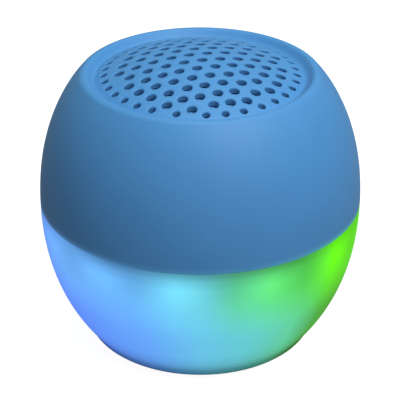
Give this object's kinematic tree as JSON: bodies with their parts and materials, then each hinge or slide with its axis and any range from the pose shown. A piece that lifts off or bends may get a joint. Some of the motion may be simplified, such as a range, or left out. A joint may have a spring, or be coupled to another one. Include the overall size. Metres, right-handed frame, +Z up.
{
  "type": "mini bluetooth speaker",
  "caption": "Egg-shaped wireless mini speaker: soft-touch shell with a domed perforated grille on top of a milky, light-up lower bowl.",
  "frame": {"origin": "bottom centre of the rubber foot, on the body's axis", "axes": "+Z up along the body's axis, front towards -Y, controls and charging port towards +Y"},
  "size_m": [0.07, 0.07, 0.0663],
  "materials": {
    "soft_shell": "soft-touch coat, blue",
    "blue_rubber": "matt silicone, blue",
    "milky_diffuser": "satin translucent, lit from inside",
    "white_plastic": "moulded, matt white",
    "black_plastic": "moulded, fine grain",
    "dark_rubber": "matt",
    "screen_cloth": "fine acoustic weave",
    "foam": "closed-cell foam",
    "paper": "pressed paper",
    "woven_spider": "resin-treated weave",
    "coil_copper": "enamelled wire",
    "plated_steel": "zinc plated",
    "ferrite": "sintered, matt",
    "circuit_board": "solder mask",
    "chip_resin": "moulded epoxy",
    "led_resin": "clear resin over a reflector",
    "battery_wrap": "foil pouch",
    "wire_sleeve": "smooth sleeve"
  },
  "bodies": {
    "housing": {"top_shell": "soft_shell", "speaker_grille": "soft_shell", "light_diffuser": "milky_diffuser", "base_plate": "black_plastic", "rubber_foot": "dark_rubber", "chassis": "white_plastic", "dust_screen": "screen_cloth", "driver_frame": "plated_steel", "driver_gasket": "foam", "driver_surround": "dark_rubber", "driver_spider": "woven_spider", "driver_top_plate": "plated_steel", "driver_magnet": "ferrite", "driver_back_plate": "plated_steel", "main_board": "circuit_board", "bluetooth_module": "chip_resin", "amplifier_chip": "chip_resin", "microphone": "plated_steel", "usb_connector": "plated_steel", "switch_minus": "black_plastic", "switch_play": "black_plastic", "switch_plus": "black_plastic", "battery_cell": "battery_wrap", "battery_pad": "foam", "battery_lead": "wire_sleeve", "speaker_lead": "wire_sleeve", "led_board": "white_plastic", "led_01": "led_resin", "led_02": "led_resin", "led_03": "led_resin", "led_04": "led_resin", "led_05": "led_resin", "led_06": "led_resin", "led_07": "led_resin", "led_08": "led_resin", "led_09": "led_resin", "led_10": "led_resin", "led_11": "led_resin", "led_12": "led_resin", "driver_screw_1": "plated_steel", "driver_screw_2": "plated_steel", "driver_screw_3": "plated_steel", "driver_screw_4": "plated_steel", "frame_screw_1": "plated_steel", "frame_screw_2": "plated_steel", "frame_screw_3": "plated_steel", "base_screw_1": "plated_steel", "base_screw_2": "plated_steel", "board_screw_1": "plated_steel", "board_screw_2": "plated_steel"},
    "diaphragm": {"driver_cone": "paper", "driver_dust_cap": "paper", "voice_coil": "coil_copper"},
    "minus_key": {"button_minus": "soft_shell", "switch_plunger_minus": "black_plastic"},
    "play_key": {"button_play": "soft_shell", "switch_plunger_play": "black_plastic"},
    "plus_key": {"button_plus": "soft_shell", "switch_plunger_plus": "black_plastic"},
    "flap": {"port_flap": "blue_rubber"}
  },
  "joints": [
    {"name": "diaphragm_slide", "type": "slide", "parent": "housing", "child": "diaphragm", "axis": [0, 0, 1], "range_m": [-0.001, 0.001], "stiffness_N_per_m": 1500, "deforming": ["driver_surround", "driver_spider"]},
    {"name": "minus_press", "type": "slide", "parent": "housing", "child": "minus_key", "axis": [-0.3256, -0.9455, 0], "range_m": [0, 0.0005], "stiffness_N_per_m": 3000},
    {"name": "play_press", "type": "slide", "parent": "housing", "child": "play_key", "axis": [0, -1, 0], "range_m": [0, 0.0005], "stiffness_N_per_m": 3000},
    {"name": "plus_press", "type": "slide", "parent": "housing", "child": "plus_key", "axis": [0.3256, -0.9455, 0], "range_m": [0, 0.0005], "stiffness_N_per_m": 3000},
    {"name": "flap_hinge", "type": "hinge", "parent": "housing", "child": "flap", "pos_m": [-0.0054, 0.03425, 0.0382], "axis": [0, 0, 1], "range_deg": [0, 110]}
  ]
}
